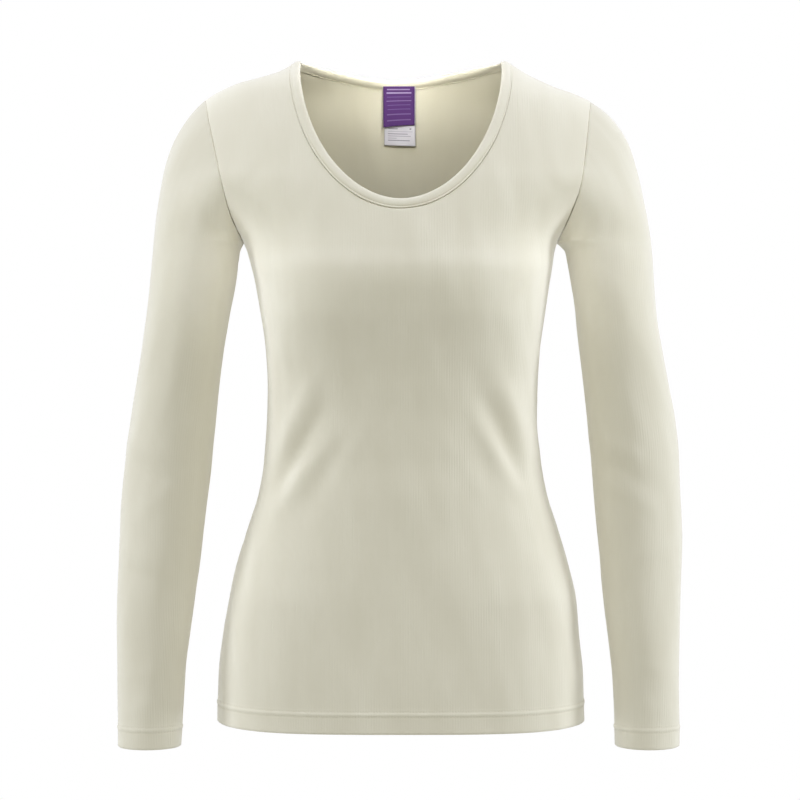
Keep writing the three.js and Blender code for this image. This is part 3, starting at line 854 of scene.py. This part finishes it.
def knit(name, pitch, rib, streak, bump):
    """Fine rib knit: ribs along the cloth that show in patches, each wale a little its own, with painted
    shade in the low places of its relief.
    """
    material, across, along = blank(name)
    ribs = (across * (2 * math.pi / pitch)).maths("COSINE")
    patches = (cloth_noise(across, along, *PATCH) * 3 - 1.15).maths("ADD", 0, clamped=True)
    wales = (cloth_noise(across, along, 1.6 * pitch, WALE_LONG) * 3 - 1).maths("ADD", 0, clamped=True)
    streaks = cloth_noise(across, along, 0.9 * pitch, STREAK_LONG, 3.0) - 0.5
    bands = cloth_noise(across, along, 6 * pitch, BAND_LONG) - 0.5
    grain = cloth_noise(across, along, *GRAIN) - 0.5
    shown = 0.12 + 0.88 * patches * wales
    streaked = (0.3 + 0.7 * patches) * streaks * streak
    height = shown * ribs * rib + streaked + bands * 0.5 + grain * 0.25
    # The cloth's colour: darker in the low places of its relief, most in the ribs' valleys, as painted
    # shade, and lighter or darker at random in broad bands and patches.
    tone_and_valley_shade = (0.7 + 0.1 * height + 0.35 * bands + 0.3 * (patches - 0.5)).maths("ADD", 0, clamped=True)
    paint(material, blend_colours(tone_and_valley_shade, CREAM_SHADE, CREAM), height, bump, 0.92, 0.5)
    return material


rib_knit = knit("rib_knit", RIB_PITCH, 0.42, 1.3, 0.13 * MM)
knit_inside = knit("knit_inside", RIB_PITCH, 0.0, 0.5, 0.08 * MM)
thread = bpy.data.materials.new("thread")
thread.use_nodes = True
thread_shader = thread.node_tree.nodes["Principled BSDF"]
thread_grain = Shade(thread_shader.outputs[0]).node("TexCoord", {}, {}).output("Object")
thread_twist = thread_grain.node("TexNoise", {}, {"Vector": thread_grain, "Scale": 1800.0})
paint(thread, blend_colours(thread_twist, CREAM_SHADE, CREAM), thread_twist, 0.05 * MM, 0.7, 0.1)


def needle_rows(points, out, levels, fold_z):
    """The two needle rows of a hem, from the outer grid rows nearest to them."""
    outer = [row for row, (_, offset) in enumerate(levels) if offset == 0]
    inner = slice(NEEDLE_INSET, -NEEDLE_INSET)
    found = []
    for up in (HEM_STITCH_UP - NEEDLE_GAP / 2, HEM_STITCH_UP + NEEDLE_GAP / 2):
        row = min(outer, key=lambda row: abs(levels[row][0] - fold_z - up))
        found.append((points[row, inner], out[row, inner]))
    return found


def body_panel(name, front, folds, shift):
    """A panel of the body and the needle rows of its hem."""
    grid, offsets, depth = panel_grid(front)
    out = body_form.outward(front, grid)
    z = grid[..., 2]
    u = round_body(front, grid)
    edge = up_columns(grid.transpose(1, 0, 2)).T
    from_side = np.minimum(edge, edge[:, -1:] - edge)
    armhole = smooth((z - ARMPIT_Z) / SIDE_PUCKER_OVER)
    gathered = pucker(from_side, z, shift) * mix(SIDE_PUCKER, 1, armhole)
    lift = fold_lift(folds, grid) + handling(u, z, shift) + gathered
    lift = lift + np.where((offsets == 0)[:, None], stitch_ridge(z - HEM_Z), 0)
    points = grid + out * (offsets[:, None] + lift - depth)[..., None]
    cut = np.stack([u, up_columns(points)], axis=-1)
    piece = sheet_piece(name, points, out, cut, rib_knit, inside=knit_inside)
    return piece, needle_rows(points, out, hem_levels(HEM_Z), HEM_Z)


front_cloth, front_needles = body_panel("front_cloth", True, FRONT_FOLDS, 0.0)
front_stitches = stitching("front_hem_stitches", front_needles, thread)
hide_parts("front")
for piece in (front_cloth, front_stitches):
    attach(piece, "root")

# The back: one panel of the same knit with a shallow neck, sewn to the front at the shoulders and
# the sides. Short drag folds lie in the small of the back, where the worn cloth settles.
BACK_FOLDS = (
    (-104, -300, -36, -330, 2.2, 9),
    (-112, -330, -30, -352, -2.0, 9),
    (34, -322, 108, -296, 2.2, 9),
    (28, -350, 114, -326, -2.0, 9),
    (-60, -374, 62, -370, 2.2, 10),
    (-48, -398, 70, -392, -1.0, 9),
    (-116, -268, -84, -290, 0.9, 8),
    (80, -270, 118, -252, 0.9, 8),
    (-140, -164, -104, -190, 0.8, 8),
    (138, -166, 100, -194, 0.8, 8),
    (-150, -96, -112, -70, 0.7, 9),
    (150, -98, 108, -66, 0.7, 9),
)
back_cloth, back_needles = body_panel("back_cloth", False, BACK_FOLDS, 2.1)
back_stitches = stitching("back_hem_stitches", back_needles, thread)
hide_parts("back")
for piece in (back_cloth, back_stitches):
    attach(piece, "root")

# The sleeves: set in at the armholes, each one sheet closed by a seam under the arm, with its
# ribs along the arm and its cuff turned up like the hem.
SLEEVE_COLUMNS = ("z", "right", "left", "front", "back", "centre")
SLEEVE = (
    (ARMPIT_Z, 151, 149.5, 52, 52, 0),
    (-152, 154.6, 157.5, 51.5, 52, 0),
    (-175, 157.4, 162.2, 50.5, 51, 1),
    (-221, 166.5, 168.6, 48, 49, 4),
    (-279, 174.7, 175.7, 46, 47, 7),
    (-348, 181.4, 182.4, 44, 44, 4),
    (-417, 188.5, 187.5, 41, 41, -6),
    (-486, 196.5, 193, 37, 37, -18),
    (-556, 204.5, 200, 32.5, 32.5, -30),
    (CUFF_Z, 207.5, 202.5, 30, 30, -38),
)
SLEEVE_FOLDS = {
    ("right", True): (
        (-170, -178, -212, -200, 0.9, 9),
        (-166, -200, -202, -232, -0.9, 8),
        (-184, -158, -224, -164, 0.6, 8),
        (-262, -334, -220, -352, 1.0, 8),
        (-258, -352, -212, -374, -0.9, 8),
        (-206, -366, -244, -402, 0.8, 9),
        (-266, -434, -226, -452, 0.9, 8),
        (-262, -452, -220, -470, -0.7, 8),
        (-262, -556, -226, -546, 0.5, 7),
        (-260, -584, -224, -578, 0.5, 7),
    ),
    ("left", True): (
        (170, -176, 214, -194, 0.9, 9),
        (168, -196, 206, -224, -0.9, 8),
        (186, -156, 224, -160, 0.6, 8),
        (186, -330, 232, -352, 1.1, 8),
        (188, -350, 238, -378, -1.1, 8),
        (192, -372, 240, -398, 0.9, 8),
        (258, -428, 214, -446, 0.8, 8),
        (256, -448, 212, -470, -0.6, 8),
        (256, -552, 220, -540, 0.5, 7),
        (256, -588, 222, -580, 0.5, 7),
    ),
    ("right", False): (
        (-172, -182, -216, -210, 1.0, 9),
        (-168, -206, -210, -240, -1.0, 9),
        (-190, -318, -250, -332, 1.3, 9),
        (-190, -342, -252, -352, -1.2, 9),
        (-194, -366, -254, -364, 1.2, 9),
        (-208, -452, -254, -440, 0.7, 8),
        (-216, -560, -256, -568, 0.5, 7),
    ),
    ("left", False): (
        (172, -184, 216, -206, 1.0, 9),
        (170, -208, 208, -236, -1.0, 9),
        (192, -322, 252, -340, 1.3, 9),
        (192, -348, 254, -356, -1.2, 9),
        (196, -372, 254, -372, 1.1, 9),
        (206, -458, 250, -444, 0.7, 8),
        (214, -556, 252, -564, 0.5, 7),
    ),
}
CAP_END_Z = -172
CAP_RINGS = 58
SLEEVE_STEPS = 62

sleeve = curves(SLEEVE_COLUMNS, SLEEVE)


def arm_centre(z):
    return np.where(z > ARMPIT_Z, 0, sleeve["centre"](z))


def sleeve_reach(front, x, z):
    inner = np.where(z > ARMPIT_Z, on_side(body, x, z), on_side(sleeve, x, z))
    outer = on_side(outline, x, z)
    share = (2 * np.abs(x) - inner - outer) / np.maximum(outer - inner, 1)
    alone = oval(share, on_face(sleeve, front, np.minimum(z, ARMPIT_Z)), 0)
    return joined_above_armpit(alone, front, x, z)


sleeve_form = Form(sleeve_reach, arm_centre)


def sleeve_grid(side):
    """Points of a sleeve on its form: rings from the armhole to the cuff, turned in at both."""
    sign = sign_of(side)
    top = shoulder_point_z(side)
    z = np.linspace(top, CAP_END_Z, SEAM_SAMPLES)
    overarm = evenly(np.stack([outline[side](z), 0 * z, z], axis=-1), CAP_RINGS)
    even_share = -np.cos(np.linspace(0, math.pi, SLEEVE_STEPS + 1))

    def ring(place):
        front, back = place(True), place(False)
        return np.concatenate([front, back[-2::-1]])

    def cap_line(front, turned, outer):
        line = armhole_seam(front, side, SLEEVE_STEPS)
        if turned == 0:
            line[:, 0] += sign * HALF_GAP
            return sleeve_form.settle(front, line)
        seam_share = 2 * (line[:, 2] - ARMPIT_Z) / (top - ARMPIT_Z) - 1
        inner_z = mix(ARMPIT_Z, CAP_END_Z, turned**1.2)
        share = (mix(seam_share, even_share, smooth(turned)) + 1) / 2
        seam_x = mix(sleeve[side](ARMPIT_Z), outline[side](top), (seam_share + 1) / 2)
        bow = (line[:, 0] * sign - seam_x) * (1 - turned) ** 2
        x = mix(sleeve[side](inner_z), outer[0], share) + bow
        return sleeve_form.lift(front, sign * x, mix(inner_z, outer[2], share))

    def level_line(front, z):
        x = mix(sleeve[side](z), outline[side](z), (even_share + 1) / 2)
        return sleeve_form.lift(front, sign * x, z + 0 * x)

    cap = []
    for k, outer in enumerate(overarm):
        cap.append(ring(lambda front: cap_line(front, k / CAP_RINGS, outer)))
    cuff = hem_levels(CUFF_Z)[::-1]
    first = cuff[0][0]
    steps = round((CAP_END_Z - first) / KNIT_STEP)
    levels = [(z, 0) for z in np.linspace(CAP_END_Z, first, steps + 1)[1:-1]] + cuff
    arm = [ring(lambda front: level_line(front, z)) for z, _ in levels]
    arm, col_depth = roll_edges(np.stack(arm), True, True)
    cap, _ = roll_edges(np.stack(cap), True, True)
    cap, cap_depth = roll_edges(cap.transpose(1, 0, 2), True, False)
    cap = cap.transpose(1, 0, 2)
    grid = np.concatenate([cap, arm])
    offsets = np.concatenate([np.zeros(len(cap)), [offset for _, offset in levels]])
    row_depth = np.concatenate([cap_depth, np.zeros(len(arm))])
    depth = faded(np.maximum(col_depth[None], row_depth[:, None]), grid[..., 2])
    overarm_col = len(ROLL) + SLEEVE_STEPS
    return grid, offsets, depth, overarm_col, cuff


def sleeve_piece(name, side, shift):
    """A sleeve and the needle rows of its cuff."""
    grid, offsets, depth, overarm_col, cuff = sleeve_grid(side)
    front = np.broadcast_to(np.arange(grid.shape[1]) <= overarm_col, grid.shape[:2])
    grid = sleeve_form.settle(front, grid)
    out = sleeve_form.outward(front, grid)
    z = grid[..., 2]
    round_arm = up_columns(grid.transpose(1, 0, 2)).T
    u = round_arm - round_arm[:, overarm_col : overarm_col + 1]
    from_underarm = np.minimum(round_arm, round_arm[:, -1:] - round_arm)
    front_folds = fold_lift(SLEEVE_FOLDS[side, True], grid)
    back_folds = fold_lift(SLEEVE_FOLDS[side, False], grid)
    facing = smooth(0.5 - 0.9 * out[..., 1])
    lift = mix(back_folds, front_folds, facing) + handling(u, z, shift)
    lift = lift + pucker(up_columns(grid), u, shift) + SIDE_PUCKER * pucker(from_underarm, z, shift)
    lift = lift + np.where((offsets == 0)[:, None], stitch_ridge(z - CUFF_Z), 0)
    points = grid + out * (offsets[:, None] + lift - depth)[..., None]
    cut = np.stack([u, up_columns(points[::-1])[::-1]], axis=-1)
    piece = sheet_piece(name, points, out, cut, rib_knit, inside=knit_inside)
    return piece, needle_rows(points[-len(cuff) :], out[-len(cuff) :], cuff, CUFF_Z)


for side, shift in (("right", 0.8), ("left", 3.3)):
    sleeve_cloth, cuff_needles = sleeve_piece(f"sleeve_{side}_cloth", side, shift)
    cuff_stitches = stitching(f"sleeve_{side}_cuff_stitches", cuff_needles, thread)
    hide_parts(f"sleeve_{side}")
    for piece in (sleeve_cloth, cuff_stitches):
        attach(piece, "root")

# The neckband: a strip of smooth knit folded in half and sewn round the neck. It rolls softly
# over its fold, and its seam stands as a thin welt beside the panels.
BAND_SECTION = (
    # across, height, height at the back
    (10.35, -1.9, -1.3),
    (10.25, -1.2, -1.0),
    (10.1, -0.4, -0.4),
    (9.95, 0.2, 0.2),
    (9.7, 0.62, 0.62),
    (9.35, 0.74, 0.74),
    (9.0, 0.6, 0.6),
    (8.75, 0.28, 0.28),
    (8.5, 0.08, 0.08),
    (8.2, 0.16, 0.16),
    (7.7, 0.5, 0.5),
    (6.9, 0.82, 0.82),
    (5.6, 1.05, 1.05),
    (4.2, 1.1, 1.1),
    (2.9, 0.98, 0.98),
    (1.8, 0.72, 0.72),
    (0.9, 0.36, 0.36),
    (0.3, -0.08, -0.08),
    (0.0, -0.6, -0.6),
    (0.1, -1.12, -1.2),
    (0.5, -1.52, -1.9),
    (1.3, -1.8, -2.5),
    (2.6, -1.9, -3.0),
    (4.6, -1.9, -3.1),
    (6.6, -1.88, -2.6),
    (8.0, -1.86, -1.8),
    (9.2, -1.9, -1.15),
    (9.9, -2.0, -0.9),
)
# The back's roll fades in this far from the neck points, over this width.
BACK_ROLL = {"from_point": 4, "over": 14}
# Towards the shoulders the welt lies flat at this height, by this share.
WELT_FLUSH = 0.5
WELT_FADE = 0.75
WELT_FROM = 6
BAND_WAVE = 0.12
band_knit = knit("band_knit", 1.3 * MM, 0.3, 1.0, 0.1 * MM)
band_rings = np.stack([band_points(across, height) for across, height, _ in BAND_SECTION])
rolled_rings = np.stack([band_points(across, height) for across, _, height in BAND_SECTION])
from_point = NECK_HALF_WIDTH - BACK_ROLL["from_point"] - np.abs(RING_POINTS[:, 0])
on_back = ~RING_FRONT * smooth(from_point / BACK_ROLL["over"])
band_rings = mix(band_rings, rolled_rings, on_back[None, :, None])
on_sides = up_neck_side(RING_POINTS[:, 2]) * RING_FRONT
flat_rings = np.stack([band_points(across, WELT_FLUSH) for across, _, _ in BAND_SECTION])
welt = np.array([across > WELT_FROM and height > 0 for across, height, _ in BAND_SECTION])
band_rings = mix(band_rings, flat_rings, (WELT_FADE * welt[:, None] * on_sides[None])[..., None])
ring_arc = arc_lengths(np.concatenate([RING_POINTS, RING_POINTS[:1]]))
band_wave = BAND_WAVE * np.sin(ring_arc[:-1] / 9 + 1.5 * np.sin(ring_arc[:-1] / 31))
ring_out = body_form.outward(RING_FRONT, RING_POINTS)
crown = np.array([max(0, height) for _, height, _ in BAND_SECTION])
band_rings = band_rings + ring_out[None] * (crown[:, None] * band_wave[None])[..., None]
band_rings = np.concatenate([band_rings, band_rings[:, :1]], axis=1)
section_arc = up_columns(band_rings)[:, 0]
band_cut = np.stack(np.broadcast_arrays(ring_arc[None], section_arc[:, None]), axis=-1)
towards_fold = np.gradient(band_rings, axis=0)
round_neck = np.gradient(band_rings, axis=1)
band_out = np.cross(towards_fold, round_neck)
outer_side = np.sum(band_out[np.argmax(crown), :-1] * ring_out) > 0
band_out = band_out if outer_side else -band_out
neckband = sheet_piece("neckband_cloth", band_rings, band_out, band_cut, band_knit, closed=True)
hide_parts("neckband")
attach(neckband, "root")

# The labels: a white care label inside the back neck and a shorter violet woven one on top of it,
# both sewn in at their upper edge and hanging free. Plain ruled lines stand for what they say.
LABEL_CENTRE_X = -2
LABEL_TOP_Z = BACK_NECK_Z - 4
CARE = {"wide": 31, "long": 61, "set_in": 2.7, "aside": 0.9}
WOVEN = {"wide": 31, "long": 40, "set_in": 3.5, "aside": 0}
VIOLET = (0.15, 0.072, 0.23)
LILAC = (0.52, 0.44, 0.6)
RIBBON = (0.74, 0.72, 0.77)
GREY_INK = (0.2, 0.17, 0.24)
LABEL_THICK = 0.3
LABEL_COLUMNS = 41
LABEL_ROWS = 61
# How far past its length a label's line down the back is worked out, and in how many points.
LABEL_SPARE = 6
LABEL_SAMPLES = 200
RIBBON_PITCH = 0.45
LINE_EDGE = 0.3
# Ruled lines: distance from the label's top, start and end across it, thickness, all in mm, and
# how strong the line is.
WOVEN_LINES = (
    (3.2, -12, 11, 1.3, 0.95),
    (6.8, -12.5, 12.5, 1.6, 1.0),
    (11.0, -12, 12, 0.5, 0.45),
    (15.0, -12.5, 12.5, 0.6, 0.8),
    (19.2, -11.5, 11.5, 0.5, 0.45),
    (23.4, -11.5, 11.5, 0.5, 0.45),
    (28.4, -12, 12, 1.1, 0.4),
    (34.2, -12, 12, 1.1, 0.4),
)
CARE_LINES = (
    (43.6, -11.5, -2, 0.9, 0.8),
    (43.6, 9.5, 11.5, 1.1, 0.9),
    (46.4, -12, 12.5, 0.35, 0.5),
    (48.8, -12, 8, 0.7, 0.7),
    (51.0, -12, 11, 0.45, 0.7),
    (53.2, -12, -3, 0.45, 0.6),
    (55.4, -12, 10, 0.7, 0.8),
)


def ruled_satin(name, ground, ink, lines):
    """Woven satin with plain ruled lines, whose edges are soft."""
    material, across, down = blank(name)
    turn = math.pi / (RIBBON_PITCH * MM)
    ribbon = (down * (2 * turn) + across * turn).maths("COSINE")
    fuzz = cloth_noise(across, down, *GRAIN)
    per_edge = -1 / (LINE_EDGE * MM)
    marks = None
    for from_top, left_end, right_end, thick, strength in lines:
        centre, half = (left_end + right_end) / 2 * MM, (right_end - left_end) / 2
        over = (down - from_top * MM).maths("ABSOLUTE") * per_edge
        over = over.maths("ADD", thick / 2 / LINE_EDGE + 0.5, clamped=True)
        along = (across - centre).maths("ABSOLUTE") * per_edge
        along = along.maths("ADD", half / LINE_EDGE, clamped=True)
        mark = over * along * strength
        marks = mark if marks is None else marks.maths("MAXIMUM", mark)
    broken = marks * (0.55 + 0.6 * fuzz)
    paint(material, blend_colours(broken, ground, ink), ribbon * 0.3 + fuzz, 0.05 * MM, 0.5, 0.3)
    return material


def label_piece(name, size, material, slant, curl):
    """A label that hangs down the inside of the back from its sewn upper edge."""
    across = np.linspace(-size["wide"] / 2, size["wide"] / 2, LABEL_COLUMNS)
    down = np.linspace(0, 1, LABEL_ROWS)
    z = np.linspace(LABEL_TOP_Z, LABEL_TOP_Z - size["long"] - LABEL_SPARE, LABEL_SAMPLES)
    columns = []
    for x in across:
        line = body_form.lift(False, LABEL_CENTRE_X + size["aside"] + x + 0 * z, z)
        columns.append(at_arcs(line, down * (size["long"] + slant(x / size["wide"]))))
    grid = np.stack(columns, axis=1)
    inward = -body_form.outward(False, grid)
    set_in = size["set_in"] + curl(across[None] / size["wide"], down[:, None])
    cut = np.stack(np.broadcast_arrays(across[None], down[:, None] * size["long"]), axis=-1)
    points = grid + inward * set_in[..., None]
    piece = sheet_piece(name, points, inward, cut, material, thick=LABEL_THICK)
    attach(piece, "root")
    return piece


care_label = label_piece(
    "care_label",
    CARE,
    ruled_satin("care_ribbon", RIBBON, GREY_INK, CARE_LINES),
    lambda share: 0.8 * share,
    lambda share, down: 0.9 * down**2 * (0.3 + share) ** 2 + 0.25 * down * np.sin(7 * down + 3 * share),
)
woven_label = label_piece(
    "woven_label",
    WOVEN,
    ruled_satin("woven_violet", VIOLET, LILAC, WOVEN_LINES),
    lambda share: 0.2 - 1.9 * share + 2.6 * share**2,
    lambda share, down: 0.7 * down**3 * (1.4 - 1.5 * share) + 0.2 * np.sin(9 * down + 4 * share) * down,
)
for piece, node, size in ((care_label, "label_care", CARE), (woven_label, "label_woven", WOVEN)):
    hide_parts(node)
    size["wide"] * MM
    size["long"] * MM

# The fill lights: each reaches only the body, one sleeve or the inside of the back, so that the
# pieces don't shade each other, as in a catalogue picture whose parts are lit in turn. A narrow
# lamp in front of each armpit lifts its shade. Places are those on the left, mirrored for the right.
BODY_PIECES = ("front_", "back_", "neckband_", "_label")
INSIDE_BACK = ("back_cloth", "neckband_", "_label")
WARM = (0.98, 0.985, 0.97)
BODY_TOP = {"place": (0, -0.9, 2.0), "size": (1.6, 1.0), "power": 6.7}
BEHIND_ANGLE = 125
BEHIND_BODY = {"right": 18.5, "left": 14.2}
BEHIND_SLEEVES = 9
ACROSS_ANGLE = -50
ACROSS_SLEEVE = {"right": 5.3, "left": 6.6}
ARM = (0.23, 0, -0.33)
NECK_LIGHT = {"size": (0.04, 0.03), "power": 0.044, "spread": 90}
BESIDE_NECK = (-0.03, -0.07, 0.03)
INSIDE_NECK = (0.07, 0.055, 0)
PIT_LIGHT = {"size": (0.1, 0.1), "power": 0.008, "spread": 16}
BEFORE_ARMPIT = (0.17, -0.6, -0.17)
ARMPIT = (0.162, 0, -0.165)


def mirrored(sign, place):
    return (sign * place[0], place[1], place[2])


def pieces_named(words):
    found = bpy.data.collections.new("lit")
    for piece in bpy.data.objects:
        if any(word in piece.name for word in words):
            found.objects.link(piece)
    return found


def light_only(words, lamp):
    """A lamp reaches only the pieces with these words in their names, which alone shade it."""
    lamp.light_linking.receiver_collection = pieces_named(words)
    lamp.light_linking.blocker_collection = pieces_named(words)


def narrow_light(name, place, target, settings, tint):
    lamp = soft_light(name, place, target, settings["size"], settings["power"], tint)
    lamp.data.spread = math.radians(settings["spread"])
    return lamp


above = soft_light("fill_body_top", BODY_TOP["place"], middle, BODY_TOP["size"], BODY_TOP["power"], COOL)
light_only(BODY_PIECES, above)
for side in ("right", "left"):
    sign = sign_of(side)
    behind = round_place(sign * BEHIND_ANGLE)
    light_only(BODY_PIECES, soft_light(f"fill_body_{side}", behind, middle, TALL, BEHIND_BODY[side], COOL))
    for arm_side in ("right", "left"):
        name = f"fill_{arm_side}_sleeve_from_{side}"
        light_only([f"sleeve_{arm_side}"], soft_light(name, behind, middle, TALL, BEHIND_SLEEVES, COOL))
    across = round_place(sign * ACROSS_ANGLE)
    arm = mirrored(sign, ARM)
    sleeve_light = soft_light(f"fill_sleeve_{side}", across, arm, TALL, ACROSS_SLEEVE[side], COOL)
    light_only([f"sleeve_{side}"], sleeve_light)
    beside, inside = mirrored(sign, BESIDE_NECK), mirrored(sign, INSIDE_NECK)
    light_only(INSIDE_BACK, narrow_light(f"fill_neck_{side}", beside, inside, NECK_LIGHT, WARM))
    before, armpit = mirrored(sign, BEFORE_ARMPIT), mirrored(sign, ARMPIT)
    narrow_light(f"light_armpit_{side}", before, armpit, PIT_LIGHT, COOL)
